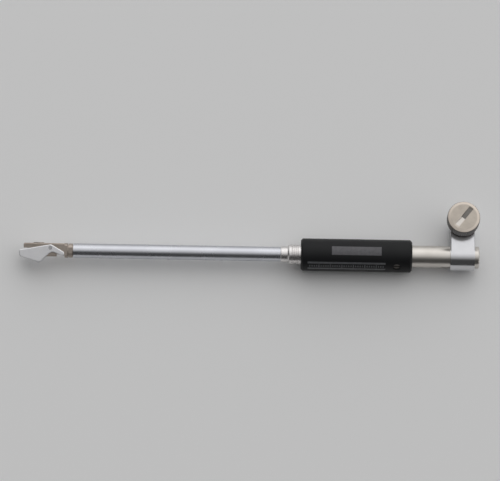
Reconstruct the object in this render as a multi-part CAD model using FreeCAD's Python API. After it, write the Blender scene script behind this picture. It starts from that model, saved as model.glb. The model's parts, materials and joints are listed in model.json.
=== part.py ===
import FreeCAD
import Part
import math
import os
from FreeCAD import Vector

# A two-point bore gauge for small holes, without its dial indicator or an anvil, lying on its grip.
# +X runs along the gauge to the mouth that takes the indicator's 8 mm stem, and X = 0 is that mouth.
# +Z is up, along the clamp screw. The clamp's lug points to +Y, and the contact point to -Y.
# All sizes are in millimetres.

# Lengths along the gauge, from the mouth to the measuring head
holder_reach = 29.3
grip_length = 48.4
collar_barrel_length = 5.1
collar_cone_length = 0.7
collar_nose_length = 3.0
stem_reach = 90.5
measuring_to_stem = 15.2

# How far the stem goes into the grip
stem_insert = 7.7

# The head is turned about the gauge's own axis and then locked
head_clocking = 17.0

# Clearances
seat_gap = 0.01
running_gap = 0.03
cheek_gap = 0.08
touch_gap = 0.03

# How far a cutter runs past the face that it cuts, and how near an edge is to where it is looked for
cut_past = 1.0
pick_within = 0.01

# Stem, nose collar and bushes
stem_radius = 3.2
stem_bore_radius = 2.45
collar_nose_radius = 3.5
collar_nose_chamfer = 0.2
collar_barrel_radius = 4.3
collar_groove_depth = 0.22
collar_groove_count = 4
collar_spigot_wall = 0.7
collar_spigot_length = 4.5
bush_length = 5.0
bush_from_spigot = 0.5

# Push rod, its return spring and its two ends
rod_radius = 1.2
stroke = 1.0
rod_tip_length = 9.0
rod_tip_shank_radius = 0.65
rod_tip_shank_length = 4.0
ball_radius = 0.8
button_radius = 2.0
button_length = 4.0
button_face_thickness = 1.0
spindle_room = 6.0
button_to_bush = 5.3
spring_collar_length = 2.0
spring_collar_radius = 3.0
spring_collar_from_stem = 2.0
return_wire_radius = 0.22
return_coil_radius = 2.4
return_turns = 8.0

# Grip
grip_radius = 7.1
grip_chamfer = 0.8
core_radius = 5.5
core_inset = 0.8
core_cavity_radius = 3.5
guide_bush_length = 6.0
guide_bush_flange = 1.2
set_screw_radius = 1.5
set_screw_length = 1.7
set_screw_from_back = 6.7
set_screw_angle = 60.0
set_screw_slot_width = 0.5
set_screw_slot_depth = 0.6

# Holder tube for the indicator's stem
holder_radius = 4.8
stem_socket_radius = 4.01
stem_socket_depth = 24.0
holder_slit_width = 0.8
holder_slit_length = 16.0
mouth_chamfer = 0.35

# Clamp, its nut, washer and slotted screw
clamp_width = 10.6
clamp_from_mouth = 2.0
clamp_radius = 5.95
clamp_screw_offset = 14.5
clamp_slit = 1.2
clamp_edge = 0.3
screw_radius = 1.97
screw_hole_radius = 2.15
knob_radius = 7.15
knob_height = 6.0
knob_chamfer = 0.3
knob_rim_width = 1.1
knob_rim_drop = 0.2
knob_flute_count = 48
knob_flute_depth = 0.28
knob_slot_width = 2.1
knob_slot_length = 11.0
knob_slot_depth = 1.9
knob_slot_angle = 52.0
washer_radius = 5.0
washer_thickness = 0.8
nut_flats = 7.0
nut_thickness = 3.2
nut_chamfer = 0.35
screw_end_inset = 0.3

# Head body, in the head's own frame: u along the gauge from the measuring axis, v across it, w up
body_half_thickness = 2.6
body_contact_side = 2.7
body_anvil_side = 3.1
body_front = 2.4
body_back = 11.4
body_edge = 0.45
tongue_length = 4.0
tongue_thickness = 2.1
body_relief_start = 7.8
body_relief_side = 1.75
head_flange_length = 1.3
head_flange_flats = 2.5
head_spigot_insert = 6.0
lock_ring_radius = 3.05
lock_ring_gap = 0.35
lock_ring_flats = 2.75
boss_radius = 2.3
contact_boss_height = 0.8
anvil_boss_height = 0.3
anvil_hole_radius = 1.25
anvil_hole_depth = 1.9

# Contact point
plunger_radius = 1.6
plunger_end = 4.5
plunger_end_chamfer = 0.3
cone_touch_radius = 0.5
plunger_overrun = 0.15
tip_radius = 1.1
tip_height = 0.9
tip_shank_radius = 0.55
tip_shank_length = 0.6
stop_pin_radius = 0.35
stop_pin_offset = 2.3

# Guide shoe: a pressed saddle whose outline is a belt round these circles (u, v, radius)
shoe_brow = (-7.5, -0.7, 0.9)
shoe_nose = (-7.1, -2.0, 1.1)
shoe_pad = (0.1, -3.35, 1.8)
shoe_ear = (5.3, 1.15, 1.4)
shoe_tail = (10.4, -1.3, 0.95)
shoe_sheet = 0.6
shoe_tab_end = -2.6
shoe_edge = 0.4
shoe_notch_radius = 2.4
pivot_radius = 0.6
pivot_depth = 1.1
pivot_head_radius = 0.85
pivot_head_height = 0.15
guide_wire_radius = 0.12
guide_coil_radius = 0.85
guide_turns = 6.0
guide_spring_inset = 1.9
guide_spring_pocket = 1.5

# Stations along the gauge that follow from the lengths
grip_back = -holder_reach
grip_front = grip_back - grip_length
collar_front = grip_front - collar_barrel_length - collar_cone_length - collar_nose_length
stem_front = collar_front - stem_reach
stem_back = grip_front + stem_insert
measuring_x = stem_front - measuring_to_stem
button_face = -stem_socket_depth - spindle_room
holder_front = button_face - button_length - button_to_bush
bush_step = holder_front - guide_bush_flange
clamp_back = -clamp_from_mouth
clamp_front = clamp_back - clamp_width
clamp_middle = (clamp_front + clamp_back) / 2
floor_z = -grip_radius

# Stations of the head, measured like u from the measuring axis
flange_back = body_back + head_flange_length
spigot_back = measuring_to_stem + head_spigot_insert
spigot_radius = stem_bore_radius - seat_gap
tongue_front = -body_front - tongue_length
cheek_inner = body_half_thickness + cheek_gap
cheek_outer = cheek_inner + shoe_sheet
touch_height = -ball_radius / math.sqrt(2)
cone_apex = touch_height + cone_touch_radius
cone_base = cone_apex - plunger_radius
ball_centre = cone_touch_radius + ball_radius / math.sqrt(2) + touch_gap * math.sqrt(2)
plunger_bore_end = cone_apex + stroke + plunger_overrun
rod_joint = ball_centre - ball_radius + rod_tip_length
ball_bore_radius = ball_radius + 3 * running_gap
anvil_face = body_anvil_side + anvil_boss_height

# Stations of the push rod in the grip
rod_back = button_face - button_face_thickness
spring_collar_front = stem_back + spring_collar_from_stem
spring_seat = bush_step - guide_bush_length

# Heights of the washer and the knob above the gauge's axis
washer_low = clamp_radius + seat_gap
washer_top = washer_low + washer_thickness
knob_low = washer_top + seat_gap
knob_top = knob_low + knob_height

X_AXIS = Vector(1, 0, 0)
Y_AXIS = Vector(0, 1, 0)
Z_AXIS = Vector(0, 0, 1)
ORIGIN = Vector(0, 0, 0)


def polygon_face(points):
    """A flat face through points in the XY plane."""
    corners = [Vector(x, y, 0) for x, y in points]
    return Part.Face(Part.makePolygon(corners + corners[:1]))


def turned_x(profile):
    """A solid turned about the X axis from (x, radius) points."""
    return polygon_face(profile).revolve(ORIGIN, X_AXIS, 360)


def tube_x(front, back, outer, inner):
    """A plain tube along X."""
    return turned_x([(front, inner), (back, inner), (back, outer), (front, outer)])


def rod_x(front, back, radius):
    """A plain cylinder along X."""
    return Part.makeCylinder(radius, back - front, Vector(front, 0, 0), X_AXIS)


def rod_y(u, low, high, radius, w=0):
    """A cylinder along Y at (u, w)."""
    return Part.makeCylinder(radius, high - low, Vector(u, low, w), Y_AXIS)


def rod_z(u, v, low, high, radius):
    """A cylinder along Z at (u, v)."""
    return Part.makeCylinder(radius, high - low, Vector(u, v, low), Z_AXIS)


def block(low, high):
    """A box between two corners."""
    size = [b - a for a, b in zip(low, high)]
    return Part.makeBox(size[0], size[1], size[2], Vector(*low))


def belt_face(circles):
    """The face inside a belt pulled round circles (x, y, radius), listed anticlockwise."""
    runs = []
    for (ax, ay, ar), (bx, by, br) in zip(circles, circles[1:] + circles[:1]):
        span = math.hypot(bx - ax, by - ay)
        along = ((bx - ax) / span, (by - ay) / span)
        lean = (ar - br) / span
        side = math.sqrt(1 - lean * lean)
        normal = (along[0] * lean + along[1] * side, along[1] * lean - along[0] * side)
        start = Vector(ax + ar * normal[0], ay + ar * normal[1], 0)
        end = Vector(bx + br * normal[0], by + br * normal[1], 0)
        runs.append((start, end, math.atan2(normal[1], normal[0])))
    edges = []
    for index, (start, end, angle) in enumerate(runs):
        edges.append(Part.LineSegment(start, end).toShape())
        x, y, radius = circles[(index + 1) % len(circles)]
        next_start, _, next_angle = runs[(index + 1) % len(runs)]
        sweep = (next_angle - angle) % (2 * math.pi)
        middle = angle + sweep / 2
        crown = Vector(x + radius * math.cos(middle), y + radius * math.sin(middle), 0)
        edges.append(Part.Arc(end, crown, next_start).toShape())
    return Part.Face(Part.Wire(edges))


def raised(face, low, high):
    """A face in the XY plane extruded from one height to another."""
    lifted = face.copy()
    lifted.translate(Vector(0, 0, low))
    return lifted.extrude(Vector(0, 0, high - low))


def coil(length, coil_radius, wire_radius, turns):
    """A compression spring along +Z from 0 to length, with its ends ground flat."""
    pitch = length / turns
    helix = Part.makeHelix(pitch, length + pitch, coil_radius)
    wire_circle = Part.Wire(Part.makeCircle(wire_radius, Vector(coil_radius, 0, 0), Y_AXIS))
    swept = Part.Wire(helix).makePipeShell([wire_circle], True, True)
    swept.translate(Vector(0, 0, -pitch / 2))
    reach = coil_radius + 2 * wire_radius
    return swept.common(block((-reach, -reach, 0), (reach, reach, length)))


def in_head(shape):
    """Moves a shape from the head's frame to its place on the gauge."""
    placed = shape.copy()
    placed.translate(Vector(measuring_x, 0, 0))
    placed.rotate(ORIGIN, X_AXIS, head_clocking)
    return placed


def near(value, place):
    """Whether a coordinate is at a place, to the pick tolerance."""
    return abs(value - place) < pick_within


def edges_along(shape, direction, chosen):
    """The straight edges of a shape that run in a direction and whose middle passes a test."""
    found = []
    for edge in shape.Edges:
        if len(edge.Vertexes) < 2 or edge.Curve.TypeId != "Part::GeomLine":
            continue
        run = edge.Vertexes[1].Point - edge.Vertexes[0].Point
        if run.cross(direction).Length < 1e-6 * run.Length and chosen(edge.CenterOfMass):
            found.append(edge)
    return found


# Measuring head

def head_body():
    """The block that holds the contact point, the guide shoe and the anvil's threaded hole."""
    thick = body_half_thickness
    body = block((-body_front, -body_contact_side, -thick), (body_back, body_anvil_side, thick))
    tongue_low = body_anvil_side - tongue_thickness
    body = body.fuse(block((tongue_front, tongue_low, -thick), (-body_front, body_anvil_side, thick)))
    body = body.removeSplitter()
    rims = []
    for side_face in (body_anvil_side, -body_contact_side):
        rims += edges_along(body, X_AXIS, lambda p: near(abs(p.z), thick) and near(p.y, side_face))
    rims += edges_along(body, Z_AXIS, lambda p: near(p.x, tongue_front) and near(p.y, body_anvil_side))
    body = body.makeChamfer(body_edge, rims)
    flange = rod_x(body_back, flange_back, stem_radius)
    flats = block((body_back, -stem_radius, -head_flange_flats),
                  (flange_back, stem_radius, head_flange_flats))
    body = body.fuse(flange.common(flats))
    body = body.fuse(rod_x(flange_back, spigot_back, spigot_radius))
    body = body.fuse(rod_y(0, -body_contact_side - contact_boss_height, 0, boss_radius))
    body = body.fuse(rod_y(0, 0, anvil_face, boss_radius))
    cuts = [
        block((body_relief_start, -body_contact_side - cut_past, -thick - cut_past),
              (body_back, -body_relief_side, thick + cut_past)),
        rod_y(0, -plunger_end, plunger_bore_end, plunger_radius + running_gap),
        rod_y(0, anvil_face - anvil_hole_depth, anvil_face + cut_past, anvil_hole_radius),
        rod_x(0, plunger_radius + ball_radius, ball_bore_radius),
        rod_x(plunger_radius + ball_radius / 2, spigot_back + cut_past, rod_radius + running_gap),
        rod_z(0, -stop_pin_offset, -thick - cut_past, thick + cut_past, stop_pin_radius + seat_gap),
        rod_y(-body_front - guide_spring_inset, tongue_low - cut_past, tongue_low + guide_spring_pocket,
              guide_coil_radius + 2 * guide_wire_radius + running_gap),
    ]
    for side in (-1, 1):
        low, high = sorted((side * (thick - pivot_depth), side * (thick + cut_past)))
        cuts.append(rod_z(shoe_ear[0], shoe_ear[1], low, high, pivot_radius + seat_gap))
    for cut in cuts:
        body = body.cut(cut)
    return in_head(body.removeSplitter())


def head_lock_ring():
    """The thin ring nut that locks the head against the stem at its clocking."""
    front = flange_back + lock_ring_gap
    back = measuring_to_stem - lock_ring_gap
    ring = tube_x(front, back, lock_ring_radius, spigot_radius + seat_gap)
    waist = block((front - cut_past, -lock_ring_radius, -lock_ring_flats),
                  (back + cut_past, lock_ring_radius, lock_ring_flats))
    return in_head(ring.common(waist))


def contact_plunger():
    """The sliding contact: its 45 degree cone pushes the rod's ball as far as it moves itself."""
    narrow = plunger_radius - plunger_end_chamfer
    profile = [
        (0, -plunger_end),
        (narrow, -plunger_end),
        (plunger_radius, -plunger_end + plunger_end_chamfer),
        (plunger_radius, cone_base),
        (0, cone_apex),
    ]
    plunger = polygon_face(profile).revolve(ORIGIN, Y_AXIS, 360)
    tip_seat = -plunger_end + tip_shank_length
    plunger = plunger.cut(rod_y(0, -plunger_end, tip_seat, tip_shank_radius + seat_gap))
    slot_top = -stop_pin_offset
    slot_low = slot_top - stroke - running_gap
    half_slot = stop_pin_radius + running_gap
    slot = block((-half_slot, slot_low, -plunger_radius), (half_slot, slot_top, plunger_radius))
    slot = slot.fuse(rod_z(0, slot_top, -plunger_radius, plunger_radius, half_slot))
    slot = slot.fuse(rod_z(0, slot_low, -plunger_radius, plunger_radius, half_slot))
    return in_head(plunger.cut(slot))


def contact_tip():
    """The hard domed tip set in the plunger's end."""
    tip_end = -plunger_end - tip_height
    sphere = (tip_radius ** 2 + tip_height ** 2) / (2 * tip_height)
    centre = tip_end + sphere
    half_angle = math.asin(min(1, tip_radius / sphere)) / 2
    crown = Vector(sphere * math.sin(half_angle), centre - sphere * math.cos(half_angle), 0)
    shank_top = -plunger_end + tip_shank_length - seat_gap
    corners = [Vector(0, tip_end, 0), Vector(tip_radius, -plunger_end, 0),
               Vector(tip_shank_radius, -plunger_end, 0), Vector(tip_shank_radius, shank_top, 0),
               Vector(0, shank_top, 0)]
    edges = [Part.Arc(corners[0], crown, corners[1]).toShape()]
    for start, end in zip(corners[1:], corners[2:] + corners[:1]):
        edges.append(Part.LineSegment(start, end).toShape())
    return in_head(Part.Face(Part.Wire(edges)).revolve(ORIGIN, Y_AXIS, 360))


def stop_pin():
    """The dowel across the plunger's slot that keeps the plunger in and stops it turning."""
    half = body_half_thickness - seat_gap
    return in_head(rod_z(0, -stop_pin_offset, -half, half, stop_pin_radius))


def guide_shoe():
    """The saddle that centres the gauge in a bore: two cheeks, a nose web and a tab under the nose."""
    blade = raised(belt_face([shoe_brow, shoe_nose, shoe_pad, shoe_ear]), -cheek_outer, cheek_outer)
    tail = raised(belt_face([shoe_ear, shoe_tail]), -cheek_outer, cheek_outer)
    shoe = blade.fuse(tail).removeSplitter()
    notch = edges_along(shoe, Z_AXIS, lambda p: shoe_pad[0] < p.x < shoe_tail[0] and
                        shoe_pad[1] < p.y < shoe_ear[1] - shoe_ear[2] / 2)
    shoe = shoe.makeFillet(shoe_notch_radius, notch)
    rims = [edge for edge in shoe.Edges if near(abs(edge.CenterOfMass.z), cheek_outer)]
    shoe = shoe.makeFillet(shoe_edge, rims)
    inner = [(u, v, radius - shoe_sheet) for u, v, radius in (shoe_brow, shoe_nose, shoe_pad)]
    high = shoe_ear[1] + 3 * shoe_ear[2]
    above = [(u, high, radius) for u, _, radius in (inner[-1], inner[0])]
    hollow = raised(belt_face(inner + above), -cheek_inner, cheek_inner)
    past_tail = shoe_tail[0] + 2 * shoe_tail[2]
    behind = block((shoe_tab_end, shoe_pad[1] - 2 * shoe_pad[2], -cheek_inner),
                   (past_tail, high, cheek_inner))
    shoe = shoe.cut(hollow.fuse(behind))
    shoe = shoe.cut(rod_z(shoe_ear[0], shoe_ear[1], -cheek_outer - cut_past, cheek_outer + cut_past,
                         pivot_radius + running_gap))
    return in_head(shoe)


def guide_pivot(side):
    """One of the two headed pins that the shoe swings on, pressed into the side of the body."""
    inner = body_half_thickness - pivot_depth + seat_gap
    under_head = cheek_outer + running_gap
    low, high = sorted((side * inner, side * under_head))
    pin = rod_z(shoe_ear[0], shoe_ear[1], low, high, pivot_radius)
    low, high = sorted((side * under_head, side * (under_head + pivot_head_height)))
    return in_head(pin.fuse(rod_z(shoe_ear[0], shoe_ear[1], low, high, pivot_head_radius)).removeSplitter())


def tab_height(u):
    """The height v of the upper face of the shoe's tab at a place u under the nose."""
    run = (shoe_pad[0] - shoe_nose[0], shoe_pad[1] - shoe_nose[1])
    span = math.hypot(*run)
    lean = (shoe_nose[2] - shoe_pad[2]) / span
    side = math.sqrt(1 - lean * lean)
    normal = ((run[0] * lean + run[1] * side) / span, (run[1] * lean - run[0] * side) / span)
    offset = shoe_nose[0] * normal[0] + shoe_nose[1] * normal[1] + shoe_nose[2] - shoe_sheet
    return (offset - u * normal[0]) / normal[1]


def guide_spring():
    """The small coil between the tongue's pocket and the shoe's tab."""
    u = -body_front - guide_spring_inset
    top = body_anvil_side - tongue_thickness + guide_spring_pocket - seat_gap
    reach = guide_coil_radius + guide_wire_radius
    low = max(tab_height(u - reach), tab_height(u + reach)) + seat_gap
    spring = coil(top - low, guide_coil_radius, guide_wire_radius, guide_turns)
    spring.rotate(ORIGIN, X_AXIS, -90)
    spring.translate(Vector(u, low, 0))
    return in_head(spring)


# Push rod

def rod_tip():
    """The hard ball-ended nose of the push rod, pressed into the rod by its shank."""
    shoulder = plunger_radius + ball_radius
    nose = Part.makeSphere(ball_radius, Vector(ball_centre, 0, 0))
    nose = nose.fuse(rod_x(ball_centre, shoulder, ball_radius))
    nose = nose.fuse(rod_x(shoulder, rod_joint, rod_radius))
    nose = nose.fuse(rod_x(rod_joint, rod_joint + rod_tip_shank_length - seat_gap, rod_tip_shank_radius))
    return in_head(nose.removeSplitter())


def push_rod():
    """The rod that carries the movement through the stem to the indicator's spindle."""
    front = measuring_x + rod_joint
    hole = rod_x(front, front + rod_tip_shank_length, rod_tip_shank_radius + seat_gap)
    return rod_x(front, rod_back, rod_radius).cut(hole)


def rod_button():
    """The flat cap on the rod's end that the indicator's spindle rests on."""
    cap = rod_x(button_face - button_length, button_face, button_radius)
    cap = cap.makeChamfer(mouth_chamfer, [cap.Edges[0], cap.Edges[2]])
    return cap.cut(rod_x(button_face - button_length, rod_back + seat_gap, rod_radius + seat_gap))


def spring_collar():
    """The ring pressed on the rod that the return spring pushes on."""
    back = spring_collar_front + spring_collar_length
    return tube_x(spring_collar_front, back, spring_collar_radius, rod_radius + seat_gap)


def return_spring():
    """The spring round the rod that brings it and the contact point back out."""
    front = spring_collar_front + spring_collar_length + seat_gap
    spring = coil(spring_seat - seat_gap - front, return_coil_radius, return_wire_radius, return_turns)
    spring.rotate(ORIGIN, Y_AXIS, 90)
    spring.translate(Vector(front, 0, 0))
    return spring


# Stem

def stem_tube():
    """The long tube between the head and the grip."""
    return tube_x(stem_front, stem_back, stem_radius, stem_bore_radius)


def stem_bush(front):
    """A short bearing for the push rod inside the stem."""
    return tube_x(front, front + bush_length, stem_bore_radius - seat_gap, rod_radius + running_gap)


def nose_collar():
    """The stepped collar where the stem enters the grip, with fine grooves round its barrel."""
    nose_end = collar_front + collar_nose_length
    barrel = nose_end + collar_cone_length
    spigot = stem_radius + collar_spigot_wall
    bore = stem_radius + seat_gap
    profile = [(collar_front, bore), (collar_front, collar_nose_radius - collar_nose_chamfer),
               (collar_front + collar_nose_chamfer, collar_nose_radius), (nose_end, collar_nose_radius),
               (barrel, collar_barrel_radius)]
    pitch = collar_barrel_length / (collar_groove_count + 2)
    for index in range(collar_groove_count):
        middle = barrel + (index + 1.5) * pitch
        profile += [(middle - collar_groove_depth, collar_barrel_radius),
                    (middle, collar_barrel_radius - collar_groove_depth),
                    (middle + collar_groove_depth, collar_barrel_radius)]
    profile += [(grip_front, collar_barrel_radius), (grip_front, spigot),
                (grip_front + collar_spigot_length, spigot), (grip_front + collar_spigot_length, bore)]
    return turned_x(profile)


# Grip

def across_grip(shape):
    """Turns a shape that stands on +Z at X = 0 to the set screw's place on the grip."""
    placed = shape.copy()
    placed.translate(Vector(grip_back - set_screw_from_back, 0, 0))
    placed.rotate(ORIGIN, X_AXIS, set_screw_angle)
    return placed


def grip_core():
    """The metal core that joins the stem to the holder tube and houses the return spring."""
    front = grip_front + core_inset
    back = grip_back - core_inset
    spigot = stem_radius + collar_spigot_wall + seat_gap
    spigot_end = grip_front + collar_spigot_length + seat_gap
    stem_bore = stem_radius + seat_gap
    holder_bore = holder_radius + seat_gap
    core = turned_x([
        (front, spigot), (spigot_end, spigot), (spigot_end, stem_bore), (stem_back, stem_bore),
        (stem_back, core_cavity_radius), (bush_step, core_cavity_radius), (bush_step, holder_bore),
        (back, holder_bore), (back, core_radius), (front, core_radius),
    ])
    return core.cut(across_grip(rod_z(0, 0, 0, grip_radius, set_screw_radius + running_gap)))


def grip_sleeve():
    """The black heat-insulating sleeve, with a lip at its front end."""
    inner = core_radius + seat_gap
    lip = collar_barrel_radius
    lip_back = grip_front + core_inset - seat_gap
    sleeve = turned_x([
        (grip_front, lip), (lip_back, lip), (lip_back, inner), (grip_back, inner),
        (grip_back, grip_radius - grip_chamfer), (grip_back - grip_chamfer, grip_radius),
        (grip_front + grip_chamfer, grip_radius), (grip_front, grip_radius - grip_chamfer),
    ])
    hole_radius = set_screw_radius + 4 * running_gap
    return sleeve.cut(across_grip(rod_z(0, 0, 0, grip_radius + cut_past, hole_radius)))


def grip_set_screw():
    """The slotted set screw that holds the holder tube in the core."""
    low = holder_radius + seat_gap
    top = low + set_screw_length
    screw = rod_z(0, 0, low, top, set_screw_radius)
    half = set_screw_slot_width / 2
    slot = block((-set_screw_radius - cut_past, -half, top - set_screw_slot_depth),
                 (set_screw_radius + cut_past, half, top + cut_past))
    return across_grip(screw.cut(slot))


def rod_guide_bush():
    """The flanged bearing at the back of the core, which is also the return spring's seat."""
    bore = rod_radius + running_gap
    flange = holder_radius - seat_gap
    body = core_cavity_radius - seat_gap
    back = holder_front - seat_gap
    step = bush_step + seat_gap
    return turned_x([(spring_seat, bore), (back, bore), (back, flange), (step, flange), (step, body),
                     (spring_seat, body)])


# Indicator holder

def holder_tube():
    """The split tube that takes the indicator's stem down to a shoulder."""
    relief = core_cavity_radius
    chamfer = mouth_chamfer
    socket = -stem_socket_depth
    tube = turned_x([
        (holder_front, relief), (socket, relief), (socket, stem_socket_radius),
        (-chamfer, stem_socket_radius), (0, stem_socket_radius + chamfer),
        (0, holder_radius - chamfer), (-chamfer, holder_radius), (holder_front, holder_radius),
    ])
    half = holder_slit_width / 2
    reach = holder_radius + cut_past
    return tube.cut(block((-holder_slit_length, -reach, -half), (cut_past, reach, half)))


def hexagon(flats):
    """The corners of a hexagon with that distance across flats."""
    corner = flats / math.sqrt(3)
    angles = [math.radians(60 * n) for n in range(6)]
    return [(corner * math.cos(angle), corner * math.sin(angle)) for angle in angles]


def at_screw(shape):
    """Moves a shape made round the Z axis to the clamp screw's axis."""
    placed = shape.copy()
    placed.translate(Vector(clamp_middle, clamp_screw_offset, 0))
    return placed


def clamp_collar():
    """The split clamp round the holder tube, with a lug that the screw draws together."""
    half_width = clamp_width / 2
    lug_end = at_screw(rod_z(0, 0, -clamp_radius, clamp_radius, half_width))
    lug = block((clamp_front, 0, -clamp_radius), (clamp_back, clamp_screw_offset, clamp_radius))
    lug = lug.fuse(lug_end).removeSplitter()
    rims = [edge for edge in lug.Edges if near(abs(edge.CenterOfMass.z), clamp_radius)
            and edge.CenterOfMass.y > pick_within]
    lug = lug.makeChamfer(clamp_edge, rims)
    ring = rod_x(clamp_front, clamp_back, clamp_radius)
    collar = ring.fuse(lug).removeSplitter()
    reach = clamp_screw_offset + clamp_width
    front = clamp_front - cut_past
    back = clamp_back + cut_past
    collar = collar.cut(rod_x(front, back, holder_radius + running_gap))
    collar = collar.cut(block((front, 0, -clamp_slit / 2), (back, reach, clamp_slit / 2)))
    hole_reach = clamp_radius + cut_past
    collar = collar.cut(at_screw(rod_z(0, 0, -hole_reach, hole_reach, screw_hole_radius)))
    pocket_floor = floor_z + nut_thickness + seat_gap
    pocket = raised(polygon_face(hexagon(nut_flats + 2 * seat_gap)), -clamp_radius - cut_past, pocket_floor)
    return collar.cut(at_screw(pocket))


def clamp_nut():
    """The hexagon nut let into the underside of the lug; its face stands on the floor beside the grip."""
    top = floor_z + nut_thickness
    corner = nut_flats / math.sqrt(3)
    prism = raised(polygon_face(hexagon(nut_flats)), floor_z, top)
    turned = polygon_face([(0, floor_z), (corner - nut_chamfer, floor_z), (corner, floor_z + nut_chamfer),
                           (corner, top), (0, top)])
    turned = turned.revolve(ORIGIN, Y_AXIS, 360)
    turned.rotate(ORIGIN, X_AXIS, 90)
    nut = prism.common(turned)
    return at_screw(nut.cut(rod_z(0, 0, floor_z - cut_past, top + cut_past, screw_radius + running_gap)))


def clamp_washer():
    """The plain washer that lifts with the clamp screw."""
    washer = rod_z(0, 0, washer_low, washer_top, washer_radius)
    return at_screw(washer.cut(rod_z(0, 0, washer_low, washer_top, screw_hole_radius)))


def clamp_screw():
    """The clamp screw: its shank and a broad fluted head, whose slot falls in two ramps to its middle."""
    flutes = []
    for index in range(2 * knob_flute_count):
        angle = math.pi * index / knob_flute_count
        radius = knob_radius - knob_flute_depth * (index % 2)
        flutes.append((radius * math.cos(angle), radius * math.sin(angle)))
    head = raised(polygon_face(flutes), knob_low, knob_top)
    rim = knob_radius - knob_chamfer
    rim_top = knob_top - knob_rim_drop
    blank = polygon_face([(0, knob_low), (rim, knob_low), (knob_radius, knob_low + knob_chamfer),
                          (knob_radius, rim_top - knob_chamfer), (rim, rim_top),
                          (rim - knob_rim_width, knob_top), (0, knob_top)])
    blank = blank.revolve(ORIGIN, Y_AXIS, 360)
    blank.rotate(ORIGIN, X_AXIS, 90)
    head = head.common(blank)
    reach = knob_slot_length / 2
    ramps = polygon_face([(-reach, knob_top), (0, knob_top - knob_slot_depth), (reach, knob_top),
                          (reach, knob_top + cut_past), (-reach, knob_top + cut_past)])
    slot = raised(ramps, -knob_slot_width / 2, knob_slot_width / 2)
    slot.rotate(ORIGIN, X_AXIS, 90)
    slot.rotate(ORIGIN, Z_AXIS, knob_slot_angle)
    head = head.cut(slot)
    shank_end = floor_z + screw_end_inset
    shank = rod_z(0, 0, shank_end, knob_low, screw_radius)
    end_ring = [edge for edge in shank.Edges if near(edge.CenterOfMass.z, shank_end)]
    shank = shank.makeChamfer(mouth_chamfer, end_ring)
    return at_screw(head.fuse(shank).removeSplitter())


def all_parts():
    """Every piece by its node name."""
    spigot_end = measuring_x + spigot_back
    return {
        "head_body": head_body(),
        "head_lock_ring": head_lock_ring(),
        "contact_plunger": contact_plunger(),
        "contact_tip": contact_tip(),
        "stop_pin": stop_pin(),
        "guide_shoe": guide_shoe(),
        "guide_pivot_upper": guide_pivot(1),
        "guide_pivot_lower": guide_pivot(-1),
        "guide_spring": guide_spring(),
        "rod_tip": rod_tip(),
        "push_rod": push_rod(),
        "rod_button": rod_button(),
        "spring_collar": spring_collar(),
        "return_spring": return_spring(),
        "stem_tube": stem_tube(),
        "stem_bush_front": stem_bush(spigot_end + bush_from_spigot),
        "stem_bush_back": stem_bush(stem_back - bush_length),
        "nose_collar": nose_collar(),
        "grip_core": grip_core(),
        "grip_sleeve": grip_sleeve(),
        "grip_set_screw": grip_set_screw(),
        "rod_guide_bush": rod_guide_bush(),
        "holder_tube": holder_tube(),
        "clamp_collar": clamp_collar(),
        "clamp_nut": clamp_nut(),
        "clamp_washer": clamp_washer(),
        "clamp_screw": clamp_screw(),
    }


def main():
    os.makedirs("parts", exist_ok=True)
    for name, shape in all_parts().items():
        solids = shape.Solids
        if len(solids) != 1 or not solids[0].isValid():
            raise RuntimeError("%s has %d solids or is not valid" % (name, len(solids)))
        solids[0].exportStep(os.path.join("parts", name + ".step"))
        print("%-20s %9.2f mm3" % (name, solids[0].Volume))


main()
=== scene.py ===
import json
import math

import bmesh
import bpy
from mathutils import Matrix, Vector


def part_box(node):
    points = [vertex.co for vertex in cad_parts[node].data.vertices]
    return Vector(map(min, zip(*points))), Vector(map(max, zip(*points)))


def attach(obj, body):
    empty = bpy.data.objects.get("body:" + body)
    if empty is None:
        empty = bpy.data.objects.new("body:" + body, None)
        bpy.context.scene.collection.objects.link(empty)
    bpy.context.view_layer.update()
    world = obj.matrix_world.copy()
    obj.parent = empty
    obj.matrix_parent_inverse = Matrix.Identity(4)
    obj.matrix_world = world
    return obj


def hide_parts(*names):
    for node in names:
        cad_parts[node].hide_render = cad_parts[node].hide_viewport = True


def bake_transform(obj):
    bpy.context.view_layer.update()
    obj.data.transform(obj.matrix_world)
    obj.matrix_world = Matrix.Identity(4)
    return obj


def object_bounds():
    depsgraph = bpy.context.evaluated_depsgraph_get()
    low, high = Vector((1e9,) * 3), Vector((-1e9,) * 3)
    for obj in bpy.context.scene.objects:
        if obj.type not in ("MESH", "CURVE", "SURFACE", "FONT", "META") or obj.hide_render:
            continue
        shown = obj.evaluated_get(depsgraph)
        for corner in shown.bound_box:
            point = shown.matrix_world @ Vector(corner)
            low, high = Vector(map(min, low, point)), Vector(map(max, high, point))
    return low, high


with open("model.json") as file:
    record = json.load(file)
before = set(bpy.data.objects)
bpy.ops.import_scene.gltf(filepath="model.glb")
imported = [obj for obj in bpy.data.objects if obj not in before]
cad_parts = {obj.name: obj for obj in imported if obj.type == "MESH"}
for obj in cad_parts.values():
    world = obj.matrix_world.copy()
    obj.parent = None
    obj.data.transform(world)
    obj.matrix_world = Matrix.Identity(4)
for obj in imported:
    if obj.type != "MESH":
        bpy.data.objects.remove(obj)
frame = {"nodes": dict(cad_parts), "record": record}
nodes = frame["nodes"]
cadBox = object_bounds()
mm = 0.001
print("frame loaded,", len(nodes), "nodes")


# shader helpers

noiseRoughness = 0.55  # weight of the finer octaves, in every noise
fineDetail = 2.0  # octaves of fine marks
cloudDetail = 4.0  # octaves of the broad wear
bumpHeight = 0.02 * mm  # of the tool marks on metal


def newMaterial(name):
    material = bpy.data.materials.new(name)
    material.use_nodes = True
    tree = material.node_tree
    return material, tree, tree.nodes["Principled BSDF"]


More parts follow.
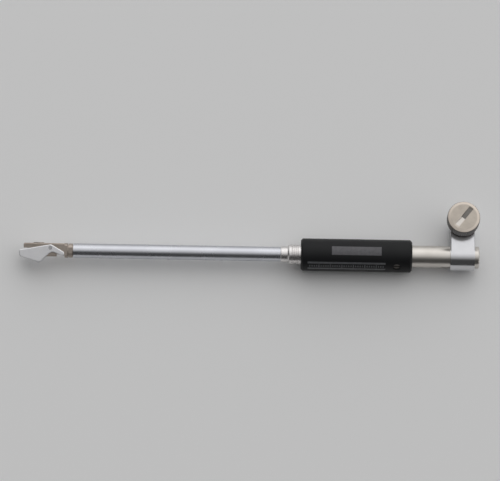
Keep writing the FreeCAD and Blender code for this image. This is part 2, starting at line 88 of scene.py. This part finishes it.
def addNode(tree, kind, **settings):
    node = tree.nodes.new(kind)
    for key, value in settings.items():
        setattr(node, key, value)
    return node


def objectSpace(tree, scale=(1, 1, 1), place=(0, 0, 0)):
    coords = addNode(tree, "ShaderNodeTexCoord")
    mapping = addNode(tree, "ShaderNodeMapping")
    mapping.inputs["Scale"].default_value = scale
    mapping.inputs["Location"].default_value = place
    tree.links.new(coords.outputs["Object"], mapping.inputs["Vector"])
    return mapping.outputs["Vector"]


def noise(tree, vector, scale, detail):
    node = addNode(tree, "ShaderNodeTexNoise")
    node.inputs["Scale"].default_value = scale
    node.inputs["Detail"].default_value = detail
    node.inputs["Roughness"].default_value = noiseRoughness
    tree.links.new(vector, node.inputs["Vector"])
    return node.outputs["Fac"]


def remap(tree, value, low, high, fromLow=0.3, fromHigh=0.7):
    # most of a noise lies between 0.3 and 0.7
    node = addNode(tree, "ShaderNodeMapRange")
    node.inputs["From Min"].default_value = fromLow
    node.inputs["From Max"].default_value = fromHigh
    node.inputs["To Min"].default_value = low
    node.inputs["To Max"].default_value = high
    tree.links.new(value, node.inputs["Value"])
    return node.outputs["Result"]


def mathOf(tree, operation, first, second=None):
    node = addNode(tree, "ShaderNodeMath", operation=operation)
    for socket, value in zip(node.inputs, (first, second)):
        if value is None:
            continue
        if isinstance(value, (int, float)):
            socket.default_value = value
        else:
            tree.links.new(value, socket)
    return node.outputs["Value"]


def mixColours(tree, factor, first, second):
    # the mix node's colours go into sockets 6 and 7 and come out of socket 2
    node = addNode(tree, "ShaderNodeMix", data_type="RGBA")
    for socket, value in ((node.inputs[6], first), (node.inputs[7], second)):
        if isinstance(value, tuple):
            socket.default_value = (*value, 1)
        else:
            tree.links.new(value, socket)
    tree.links.new(factor, node.inputs[0])
    return node.outputs[2]


def bumpFrom(tree, shader, height, strength, distance):
    node = addNode(tree, "ShaderNodeBump")
    node.inputs["Strength"].default_value = strength
    node.inputs["Distance"].default_value = distance
    tree.links.new(height, node.inputs["Height"])
    tree.links.new(node.outputs["Normal"], shader.inputs["Normal"])


def axisMark(tree, axis, places, width):
    # 1 near each of the places along one axis of the object's space, fading over width
    coords = addNode(tree, "ShaderNodeTexCoord")
    split = addNode(tree, "ShaderNodeSeparateXYZ")
    tree.links.new(coords.outputs["Object"], split.inputs["Vector"])
    total = None
    for place in places:
        gap = mathOf(tree, "ABSOLUTE", mathOf(tree, "SUBTRACT", split.outputs[axis], place))
        mark = remap(tree, gap, 1.0, 0.0, 0.0, width)
        total = mark if total is None else mathOf(tree, "MAXIMUM", total, mark)
    return total


# metals: grainScale and wear are noise scales per metre, and grain is the share of grainScale
# along X, Y and Z, so that a small number there draws the tool marks out that way

turnedAlongX = (1.0, 0.03, 0.03)
drawnAlongX = (0.04, 1.0, 1.0)
evenGrain = (1.0, 1.0, 1.0)

metals = {
    "stemChrome": dict(colour=(0.62, 0.63, 0.67), dark=(0.57, 0.58, 0.62), rough=(0.25, 0.31),
                       grain=turnedAlongX, grainScale=6000, marks=0.02, wear=90, fineShare=0.08),
    "collarNickel": dict(colour=(0.80, 0.78, 0.77), dark=(0.72, 0.70, 0.69), rough=(0.24, 0.31),
                         grain=turnedAlongX, grainScale=6000, marks=0.03, wear=160, fineShare=0.12),
    "holderNickel": dict(colour=(0.67, 0.64, 0.60), dark=(0.61, 0.58, 0.54), rough=(0.26, 0.33),
                         grain=turnedAlongX, grainScale=6000, marks=0.03, wear=120, fineShare=0.12),
    "headNickel": dict(colour=(0.50, 0.44, 0.39), dark=(0.36, 0.31, 0.27), rough=(0.42, 0.56),
                       grain=drawnAlongX, grainScale=5000, marks=0.14, wear=260),
    "shoeSteel": dict(colour=(0.95, 0.95, 0.97), dark=(0.86, 0.86, 0.88), rough=(0.36, 0.48),
                      grain=drawnAlongX, grainScale=4200, marks=0.14, wear=300, metallic=0.7),
    "groundSteel": dict(colour=(0.66, 0.66, 0.67), dark=(0.52, 0.52, 0.54), rough=(0.16, 0.30),
                        grain=evenGrain, grainScale=5000, marks=0.08, wear=400),
    "springSteel": dict(colour=(0.52, 0.52, 0.53), dark=(0.30, 0.29, 0.28), rough=(0.24, 0.40),
                        grain=evenGrain, grainScale=3000, marks=0.08, wear=700),
    "carbide": dict(colour=(0.34, 0.34, 0.36), dark=(0.26, 0.26, 0.28), rough=(0.08, 0.16),
                    grain=evenGrain, grainScale=9000, marks=0.03, wear=900),
    "bearingBronze": dict(colour=(0.62, 0.43, 0.22), dark=(0.40, 0.26, 0.13), rough=(0.26, 0.42),
                          grain=turnedAlongX, grainScale=6000, marks=0.10, wear=300),
    "coreSteel": dict(colour=(0.46, 0.45, 0.44), dark=(0.32, 0.31, 0.30), rough=(0.28, 0.44),
                      grain=turnedAlongX, grainScale=6000, marks=0.12, wear=200),
    "clampSatin": dict(colour=(0.66, 0.66, 0.68), dark=(0.60, 0.60, 0.62), rough=(0.15, 0.22),
                       grain=evenGrain, grainScale=9000, marks=0.10, wear=240),
    "darkSteel": dict(colour=(0.16, 0.15, 0.14), dark=(0.08, 0.075, 0.07), rough=(0.30, 0.48),
                      grain=evenGrain, grainScale=5000, marks=0.10, wear=260),
}


def makeMetal(name, colour, dark, rough, grain, grainScale, marks, wear, metallic=1.0, fineShare=0.4):
    # fineShare is how much of the shade follows the tool marks, and the rest follows the broad wear
    material, tree, shader = newMaterial(name)
    shader.inputs["Metallic"].default_value = metallic
    fine = noise(tree, objectSpace(tree, grain), grainScale, fineDetail)
    cloud = noise(tree, objectSpace(tree), wear, cloudDetail)
    broadShade = mathOf(tree, "MULTIPLY", remap(tree, cloud, 0.0, 1.0), 1.0 - fineShare)
    fineShade = mathOf(tree, "MULTIPLY", remap(tree, fine, 0.0, 1.0), fineShare)
    shade = mathOf(tree, "ADD", broadShade, fineShade)
    tree.links.new(mixColours(tree, shade, colour, dark), shader.inputs["Base Color"])
    tree.links.new(remap(tree, shade, *rough, 0.0, 1.0), shader.inputs["Roughness"])
    bumpFrom(tree, shader, fine, marks, bumpHeight)
    return material


library = {name: makeMetal(name, **values) for name, values in metals.items()}


knobLook = dict(
    colour=(0.50, 0.45, 0.39), dark=(0.38, 0.34, 0.30), rough=(0.28, 0.40), wear=260,
    ringsPerMetre=2600, ringWobble=0.6, ringShare=0.35, marks=0.06,
    rimRadius=5.75 * mm, rimColour=(0.55, 0.49, 0.43),  # the rim starts at this radius
    faceDepth=0.22 * mm,  # slot and flutes start this far below the top
    slotColour=(0.50, 0.47, 0.44), slotPolish=0.55,
    # painted shade: past sideRadius and below the face, the knob's side is coloured near-black to stand
    # in for the shade on it
    sideRadius=6.80 * mm, paintedShadeSideColour=(0.13, 0.12, 0.11), fade=0.1 * mm,
)


def makeKnob(centre, top):
    # a face turned on a lathe with fine rings, a brighter rim and milled slot, and the fluted side
    # painted near-black as shade
    material, tree, shader = newMaterial("knobNickel")
    shader.inputs["Metallic"].default_value = 1.0
    vector = objectSpace(tree, place=(-centre.x, -centre.y, 0))
    rings = addNode(tree, "ShaderNodeTexWave", wave_type="RINGS", rings_direction="Z")
    rings.inputs["Scale"].default_value = knobLook["ringsPerMetre"]
    rings.inputs["Distortion"].default_value = knobLook["ringWobble"]
    rings.inputs["Detail"].default_value = fineDetail
    tree.links.new(vector, rings.inputs["Vector"])
    cloud = noise(tree, vector, knobLook["wear"], cloudDetail)
    ringShade = mathOf(tree, "MULTIPLY", rings.outputs["Fac"], knobLook["ringShare"])
    cloudShade = mathOf(tree, "MULTIPLY", remap(tree, cloud, 0.0, 1.0), 1.0 - knobLook["ringShare"])
    shade = mathOf(tree, "ADD", ringShade, cloudShade)
    face = mixColours(tree, shade, knobLook["colour"], knobLook["dark"])
    flat = addNode(tree, "ShaderNodeVectorMath", operation="MULTIPLY")
    flat.inputs[1].default_value = (1, 1, 0)
    tree.links.new(vector, flat.inputs[0])
    reach = addNode(tree, "ShaderNodeVectorMath", operation="LENGTH")
    tree.links.new(flat.outputs["Vector"], reach.inputs[0])
    radius = reach.outputs["Value"]
    split = addNode(tree, "ShaderNodeSeparateXYZ")
    tree.links.new(vector, split.inputs["Vector"])
    drop = mathOf(tree, "SUBTRACT", top, split.outputs[2])
    fade = knobLook["fade"]
    rim = remap(tree, radius, 0.0, 1.0, knobLook["rimRadius"], knobLook["rimRadius"] + fade)
    below = remap(tree, drop, 0.0, 1.0, knobLook["faceDepth"], knobLook["faceDepth"] + fade)
    side = remap(tree, radius, 0.0, 1.0, knobLook["sideRadius"], knobLook["sideRadius"] + fade)
    inSlot = mathOf(tree, "MULTIPLY", below, mathOf(tree, "SUBTRACT", 1.0, rim))
    # painted shade: this mask darkens the knob's side wall as if it were in shadow
    paintedShadeOnSide = mathOf(tree, "MULTIPLY", below, side)
    tint = mixColours(tree, rim, face, knobLook["rimColour"])
    tint = mixColours(tree, inSlot, tint, knobLook["slotColour"])
    tint = mixColours(tree, paintedShadeOnSide, tint, knobLook["paintedShadeSideColour"])
    tree.links.new(tint, shader.inputs["Base Color"])
    rough = remap(tree, shade, *knobLook["rough"], 0.0, 1.0)
    polish = remap(tree, inSlot, 1.0, 1.0 - knobLook["slotPolish"], 0.0, 1.0)
    tree.links.new(mathOf(tree, "MULTIPLY", rough, polish), shader.inputs["Roughness"])
    bumpFrom(tree, shader, rings.outputs["Fac"], knobLook["marks"], bumpHeight)
    return material


sleeveLook = dict(
    colour=(0.011, 0.0115, 0.0125), worn=(0.040, 0.040, 0.041), rough=(0.38, 0.50), gloss=0.20,
    grainScale=5200, grainHeight=0.03 * mm, marks=0.35,
    wear=140, wearDetail=5.0, leastRub=0.2, edgeWidth=0.7 * mm,  # how far the ends are rubbed
)


def makeSleeve():
    # moulded black sleeve with a fine satin grain, rubbed paler at its two ends
    low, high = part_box("grip_sleeve")
    material, tree, shader = newMaterial("sleeveBlack")
    vector = objectSpace(tree)
    grain = noise(tree, vector, sleeveLook["grainScale"], fineDetail)
    cloud = noise(tree, vector, sleeveLook["wear"], sleeveLook["wearDetail"])
    ends = axisMark(tree, 0, (low.x, high.x), sleeveLook["edgeWidth"])
    rub = mathOf(tree, "MULTIPLY", ends, remap(tree, cloud, sleeveLook["leastRub"], 1.0))
    tint = mixColours(tree, rub, sleeveLook["colour"], sleeveLook["worn"])
    tree.links.new(tint, shader.inputs["Base Color"])
    tree.links.new(remap(tree, cloud, *sleeveLook["rough"]), shader.inputs["Roughness"])
    bumpFrom(tree, shader, grain, sleeveLook["marks"], sleeveLook["grainHeight"])
    shader.inputs["Specular IOR Level"].default_value = sleeveLook["gloss"]
    return material


library["sleeveBlack"] = makeSleeve()
screwLow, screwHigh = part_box("clamp_screw")
screwCentre = (screwLow + screwHigh) / 2
library["knobNickel"] = makeKnob(screwCentre, screwHigh.z)

finishes = {
    "head_body": "headNickel", "head_lock_ring": "headNickel", "nose_collar": "collarNickel",
    "contact_plunger": "groundSteel", "contact_tip": "carbide", "stop_pin": "groundSteel",
    "guide_shoe": "shoeSteel", "guide_pivot_upper": "groundSteel", "guide_pivot_lower": "groundSteel",
    "guide_spring": "springSteel", "return_spring": "springSteel", "rod_tip": "groundSteel",
    "push_rod": "groundSteel", "rod_button": "groundSteel", "spring_collar": "groundSteel",
    "stem_tube": "stemChrome", "stem_bush_front": "bearingBronze", "stem_bush_back": "bearingBronze",
    "rod_guide_bush": "bearingBronze", "grip_core": "coreSteel", "grip_sleeve": "sleeveBlack",
    "grip_set_screw": "darkSteel", "holder_tube": "holderNickel", "clamp_collar": "clampSatin",
    "clamp_nut": "darkSteel", "clamp_washer": "darkSteel", "clamp_screw": "knobNickel",
}

for nodeName, materialName in finishes.items():
    nodes[nodeName].data.materials.clear()
    nodes[nodeName].data.materials.append(library[materialName])
print("finishes on the nodes")


# new pieces

mergeGap = 0.0005 * mm  # points nearer than this become one


def finishPiece(name, shape, body, materialName):
    # a body of None leaves the piece unattached
    mesh = bpy.data.meshes.new(name)
    shape.to_mesh(mesh)
    shape.free()
    piece = bpy.data.objects.new(name, mesh)
    bpy.context.scene.collection.objects.link(piece)
    mesh.materials.append(library[materialName])
    if body is not None:
        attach(piece, body)
    return piece


prints = {
    "plateGrey": dict(colour=(0.110, 0.108, 0.118), worn=(0.080, 0.079, 0.086), rough=(0.34, 0.48)),
    "lineGrey": dict(colour=(0.135, 0.140, 0.148), worn=(0.085, 0.088, 0.094), rough=(0.34, 0.48)),
}
printGrain = dict(patchScale=900, speckScale=6000, marks=0.2, height=0.01 * mm)


def makePrint(name, colour, worn, rough):
    # thin ink or foil, a little patchy
    material, tree, shader = newMaterial(name)
    vector = objectSpace(tree)
    patch = noise(tree, vector, printGrain["patchScale"], cloudDetail)
    speck = noise(tree, vector, printGrain["speckScale"], fineDetail)
    tint = mixColours(tree, remap(tree, patch, 0.0, 1.0), colour, worn)
    tree.links.new(tint, shader.inputs["Base Color"])
    tree.links.new(remap(tree, patch, *rough), shader.inputs["Roughness"])
    bumpFrom(tree, shader, speck, printGrain["marks"], printGrain["height"])
    return material


for printName, values in prints.items():
    library[printName] = makePrint(printName, **values)

sleeveLow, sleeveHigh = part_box("grip_sleeve")
gripRadius = (sleeveHigh.z - sleeveLow.z) / 2
alongX = Vector((1, 0, 0))
patchStep = 2.0  # degrees of the sleeve for each face of a patch


def wrapPatch(shape, start, end, middle, width, lift, thick):
    # a thin patch on the sleeve from start to end along X, its middle so many degrees from the top
    half = math.degrees(width / 2 / gripRadius)
    first = Matrix.Rotation(math.radians(middle - half), 3, "X")
    low, high = (first @ Vector((x, 0, gripRadius + lift)) for x in (start, end))
    edge = shape.edges.new([shape.verts.new(low), shape.verts.new(high)])
    bmesh.ops.spin(shape, geom=[edge, *edge.verts], cent=(0, 0, 0), axis=alongX,
                   angle=math.radians(2 * half), steps=max(1, round(2 * half / patchStep)),
                   use_merge=False)
    faces = [face for face in shape.faces if not face.tag]  # earlier patches are tagged
    middles = [face.calc_center_median() for face in faces]
    outward = sum(face.normal.dot(Vector((0, at.y, at.z))) for face, at in zip(faces, middles))
    if outward < 0:
        bmesh.ops.reverse_faces(shape, faces=faces)
    bmesh.ops.solidify(shape, geom=faces, thickness=thick)
    for face in shape.faces:
        face.tag = True


namePlate = dict(start=-64.3 * mm, end=-42.7 * mm, middle=0.0, width=3.9 * mm,
                 lift=0.02 * mm, thick=0.02 * mm)
scalePlate = dict(start=-74.8 * mm, end=-40.9 * mm, middle=59.0, width=4.3 * mm,
                  lift=0.02 * mm, thick=0.02 * mm, lineWidth=0.95 * mm,
                  tickCount=34, tickWidth=0.42 * mm, tickShort=1.1 * mm, tickLong=1.8 * mm,
                  longEvery=5)


def makeNamePlate():
    shape = bmesh.new()
    wrapPatch(shape, namePlate["start"], namePlate["end"], namePlate["middle"], namePlate["width"],
              namePlate["lift"], namePlate["thick"])
    finishPiece("namePlate", shape, "gauge_body", "plateGrey")


def makeScalePlate():
    # two lines along the sleeve, and a row of ticks between them
    look = scalePlate
    shape = bmesh.new()
    sideAngle = math.degrees((look["width"] - look["lineWidth"]) / 2 / gripRadius)
    for side in (-1, 1):
        wrapPatch(shape, look["start"], look["end"], look["middle"] + side * sideAngle,
                  look["lineWidth"], look["lift"], look["thick"])
    step = (look["end"] - look["start"]) / look["tickCount"]
    for index in range(1, look["tickCount"]):
        place = look["start"] + index * step
        height = look["tickLong"] if index % look["longEvery"] == 0 else look["tickShort"]
        wrapPatch(shape, place - look["tickWidth"] / 2, place + look["tickWidth"] / 2, look["middle"],
                  height, look["lift"], look["thick"])
    finishPiece("scalePlate", shape, "gauge_body", "lineGrey")


makeNamePlate()
makeScalePlate()
print("plates on the sleeve")


threadForm = dict(stepsPerTurn=24, rootSink=0.02 * mm, halfWidth=0.38)  # halfWidth is of the pitch


def threadRidge(shape, start, direction, radius, height, pitch, turns, inward=False):
    # one helical ridge round an axis from start, made by spinning a small triangle with a rise per step
    side = direction.orthogonal().normalized()
    tip = radius - height if inward else radius + height
    root = radius + threadForm["rootSink"] if inward else radius - threadForm["rootSink"]
    reach = pitch * threadForm["halfWidth"]
    corners = [start + side * root - direction * reach, start + side * tip,
               start + side * root + direction * reach]
    verts = [shape.verts.new(corner) for corner in corners]
    profile = shape.faces.new(verts)
    bmesh.ops.spin(shape, geom=[profile, *profile.edges, *profile.verts], cent=start, axis=direction,
                   dvec=direction * pitch / threadForm["stepsPerTurn"], angle=2 * math.pi * turns,
                   steps=round(threadForm["stepsPerTurn"] * turns), use_merge=False)
    bmesh.ops.remove_doubles(shape, verts=shape.verts, dist=mergeGap)
    bmesh.ops.recalc_face_normals(shape, faces=shape.faces)


shankThread = dict(radius=1.97 * mm, height=0.12 * mm, pitch=0.7 * mm, low=-3.5 * mm, high=5.2 * mm)
anvilThread = dict(radius=1.25 * mm, height=0.10 * mm, pitch=0.5 * mm, turns=3.0, depth=1.75 * mm)
mounts = {mount["name"]: mount for mount in frame["record"]["mounts"]}


def makeThreads():
    shape = bmesh.new()
    look = shankThread
    start = Vector((screwCentre.x, screwCentre.y, look["low"]))
    turns = (look["high"] - look["low"]) / look["pitch"]
    threadRidge(shape, start, Vector((0, 0, 1)), look["radius"], look["height"], look["pitch"], turns)
    finishPiece("shankThread", shape, "clamp_screw_unit", "knobNickel")
    shape = bmesh.new()
    look = anvilThread
    axis = Vector(mounts["anvil_hole"]["axis"])
    start = Vector(mounts["anvil_hole"]["pos_m"]) - axis * look["depth"]
    threadRidge(shape, start, axis, look["radius"], look["height"], look["pitch"], look["turns"],
                inward=True)
    finishPiece("anvilThread", shape, "gauge_body", "headNickel")


makeThreads()
print("threads cut")


springs = {
    "returnCoil": dict(node="return_spring", axis=alongX, pushes="push_rod_unit"),
    "guideCoil": dict(node="guide_spring", axis=Vector(mounts["anvil_hole"]["axis"]),
                      pushes="guide_shoe_unit"),
}
sharpEdge = math.radians(35)  # a steeper edge is shaded sharp


def makeSpring(name, node, axis, pushes):
    # the node's own coil, rebuilt with smooth shading and sharp steep edges, with the node hidden
    shape = bmesh.new()
    shape.from_mesh(nodes[node].data)
    bmesh.ops.remove_doubles(shape, verts=shape.verts, dist=mergeGap)
    for face in shape.faces:
        face.smooth = True
    for edge in shape.edges:
        edge.smooth = edge.calc_face_angle(0) < sharpEdge
    piece = finishPiece(name, shape, None, "springSteel")
    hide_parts(node)
    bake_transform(piece)
    print(name, len(piece.data.polygons), "faces")


for springName, values in springs.items():
    makeSpring(springName, **values)
print("springs wound")


# floor, light and camera

stageLook = dict(colour=(0.86, 0.86, 0.86), rough=0.9, size=6.0)


def makeFloor():
    shape = bmesh.new()
    bmesh.ops.create_grid(shape, x_segments=1, y_segments=1, size=stageLook["size"] / 2)
    mesh = bpy.data.meshes.new("studioFloor")
    shape.to_mesh(mesh)
    shape.free()
    floor = bpy.data.objects.new("studioFloor", mesh)
    mesh.transform(Matrix.Translation((0, 0, cadBox[0][2])))
    bpy.context.scene.collection.objects.link(floor)
    material, tree, shader = newMaterial("studioPaper")
    shader.inputs["Base Color"].default_value = (*stageLook["colour"], 1)
    shader.inputs["Roughness"].default_value = stageLook["rough"]
    mesh.materials.append(material)


skyLook = dict(
    bright=1.10, dim=0.06,
    tiltNorth=43.0, towardsEast=0.50,  # where the bright side faces, in degrees and as a share
    edgeLow=0.18, edgeHigh=0.95,  # where the glow leaves dim and reaches bright
)


def makeSky():
    # a broad pale ceiling that reaches down to the north and east, over a dimmer room to the south-west
    world = bpy.data.worlds.new("studioSky")
    bpy.context.scene.world = world
    world.use_nodes = True
    tree = world.node_tree
    background = tree.nodes["Background"]
    background.inputs["Color"].default_value = (1, 1, 1, 1)
    coords = addNode(tree, "ShaderNodeTexCoord")
    split = addNode(tree, "ShaderNodeSeparateXYZ")
    tree.links.new(coords.outputs["Generated"], split.inputs["Vector"])
    tilt = math.radians(skyLook["tiltNorth"])
    north = mathOf(tree, "MULTIPLY", split.outputs[1], math.sin(tilt))
    upward = mathOf(tree, "MULTIPLY", split.outputs[2], math.cos(tilt))
    east = mathOf(tree, "MULTIPLY", split.outputs[0], skyLook["towardsEast"])
    facing = mathOf(tree, "ADD", mathOf(tree, "ADD", north, upward), east)
    glow = remap(tree, facing, skyLook["dim"], skyLook["bright"],
                 skyLook["edgeLow"], skyLook["edgeHigh"])
    path = addNode(tree, "ShaderNodeLightPath")
    strength = mathOf(tree, "MAXIMUM", glow, path.outputs["Is Camera Ray"])  # the camera sees it white
    tree.links.new(strength, background.inputs["Strength"])


keyLook = dict(place=(-0.16, 0.66, 0.72), aim=(-0.10, 0.0, 0.0), size=(1.30, 0.60), energy=0.5)


def makeKey():
    light = bpy.data.lights.new("keyLight", "AREA")
    light.shape = "RECTANGLE"
    light.size, light.size_y = keyLook["size"]
    light.energy = keyLook["energy"]
    lamp = bpy.data.objects.new("keyLight", light)
    lamp.location = keyLook["place"]
    aim = Vector(keyLook["aim"]) - lamp.location
    lamp.rotation_euler = aim.to_track_quat("-Z", "Y").to_euler()
    bpy.context.scene.collection.objects.link(lamp)


cameraLook = dict(target=(-0.1000, 0.0060, 0.0), distance=1.300, elevation=73.0, roll=1.0, lens=214.0,
                  clipStart=0.01)


def makeCamera():
    camera = bpy.data.objects.new("photoCamera", bpy.data.cameras.new("photoCamera"))
    camera.data.lens = cameraLook["lens"]
    camera.data.clip_start = cameraLook["clipStart"]
    tilt = math.radians(cameraLook["elevation"])
    target = Vector(cameraLook["target"])
    camera.location = target + cameraLook["distance"] * Vector((0, -math.cos(tilt), math.sin(tilt)))
    look = (target - camera.location).to_track_quat("-Z", "Y")
    roll = Matrix.Rotation(math.radians(cameraLook["roll"]), 4, "Z")
    camera.rotation_euler = (look.to_matrix().to_4x4() @ roll).to_euler()
    bpy.context.scene.collection.objects.link(camera)
    bpy.context.scene.camera = camera


makeFloor()
makeSky()
makeKey()
makeCamera()
bpy.context.scene.view_settings.view_transform = "Standard"
print("floor, light and camera set")
